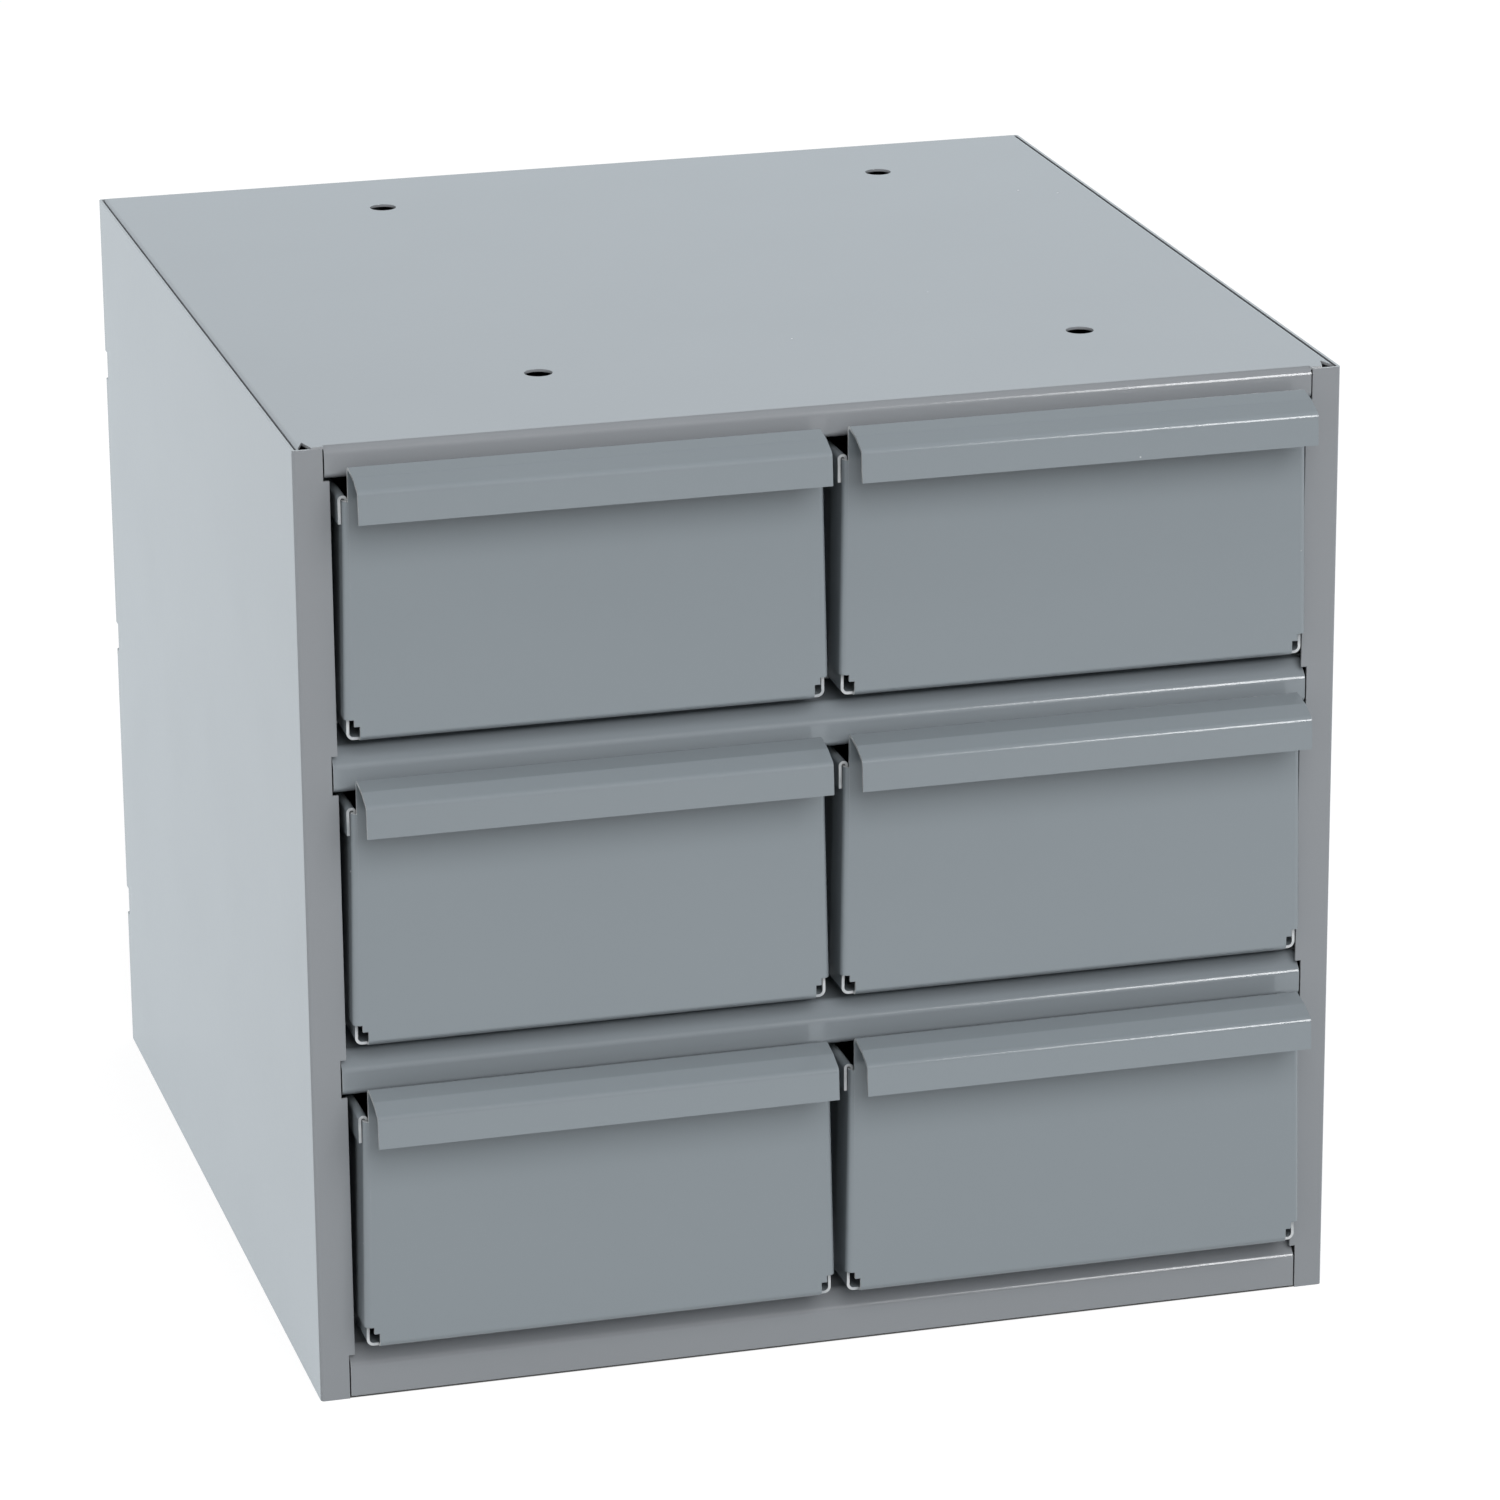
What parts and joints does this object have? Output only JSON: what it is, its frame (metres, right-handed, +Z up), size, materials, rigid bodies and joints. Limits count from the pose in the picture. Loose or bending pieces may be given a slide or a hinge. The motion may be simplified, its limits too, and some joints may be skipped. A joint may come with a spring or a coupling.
{
  "type": "small metal drawer cabinet",
  "caption": "Sheet steel parts cabinet with notched shelf rails and folded sliding drawers with formed full-width pulls.",
  "frame": {"origin": "on the ground, midway across and midway between the back and the bottom row's pulls", "axes": "+Z up, +X to the right when facing the drawers, +Y to the back; drawers pull out along -Y"},
  "size_m": [0.2986, 0.3214, 0.2782],
  "materials": {
    "cabinet_paint": "semi-gloss",
    "drawer_paint": "semi-gloss"
  },
  "bodies": {
    "cabinet": {"left_side_panel": "cabinet_paint", "right_side_panel": "cabinet_paint", "top_panel": "cabinet_paint", "back_panel": "cabinet_paint", "bottom_plate": "cabinet_paint", "lower_shelf": "cabinet_paint", "upper_shelf": "cabinet_paint", "bottom_left_guide": "cabinet_paint", "bottom_right_guide": "cabinet_paint", "bottom_centre_guide": "cabinet_paint", "middle_left_guide": "cabinet_paint", "middle_right_guide": "cabinet_paint", "middle_centre_guide": "cabinet_paint", "top_left_guide": "cabinet_paint", "top_right_guide": "cabinet_paint", "top_centre_guide": "cabinet_paint"},
    "bottom_left_drawer": {"bottom_left_drawer": "drawer_paint", "bottom_left_drawer_back": "drawer_paint"},
    "bottom_right_drawer": {"bottom_right_drawer": "drawer_paint", "bottom_right_drawer_back": "drawer_paint"},
    "middle_left_drawer": {"middle_left_drawer": "drawer_paint", "middle_left_drawer_back": "drawer_paint"},
    "middle_right_drawer": {"middle_right_drawer": "drawer_paint", "middle_right_drawer_back": "drawer_paint"},
    "top_left_drawer": {"top_left_drawer": "drawer_paint", "top_left_drawer_back": "drawer_paint"},
    "top_right_drawer": {"top_right_drawer": "drawer_paint", "top_right_drawer_back": "drawer_paint"}
  },
  "joints": [
    {"name": "bottom_left_slide", "type": "slide", "parent": "cabinet", "child": "bottom_left_drawer", "axis": [0, -1, 0], "range_m": [-0.0043, 0.2861]},
    {"name": "bottom_right_slide", "type": "slide", "parent": "cabinet", "child": "bottom_right_drawer", "axis": [0, -1, 0], "range_m": [-0.0043, 0.2861]},
    {"name": "middle_left_slide", "type": "slide", "parent": "cabinet", "child": "middle_left_drawer", "axis": [0, -1, 0], "range_m": [0, 0.2904]},
    {"name": "middle_right_slide", "type": "slide", "parent": "cabinet", "child": "middle_right_drawer", "axis": [0, -1, 0], "range_m": [0, 0.2904]},
    {"name": "top_left_slide", "type": "slide", "parent": "cabinet", "child": "top_left_drawer", "axis": [0, -1, 0], "range_m": [0, 0.2904]},
    {"name": "top_right_slide", "type": "slide", "parent": "cabinet", "child": "top_right_drawer", "axis": [0, -1, 0], "range_m": [0, 0.2904]}
  ]
}
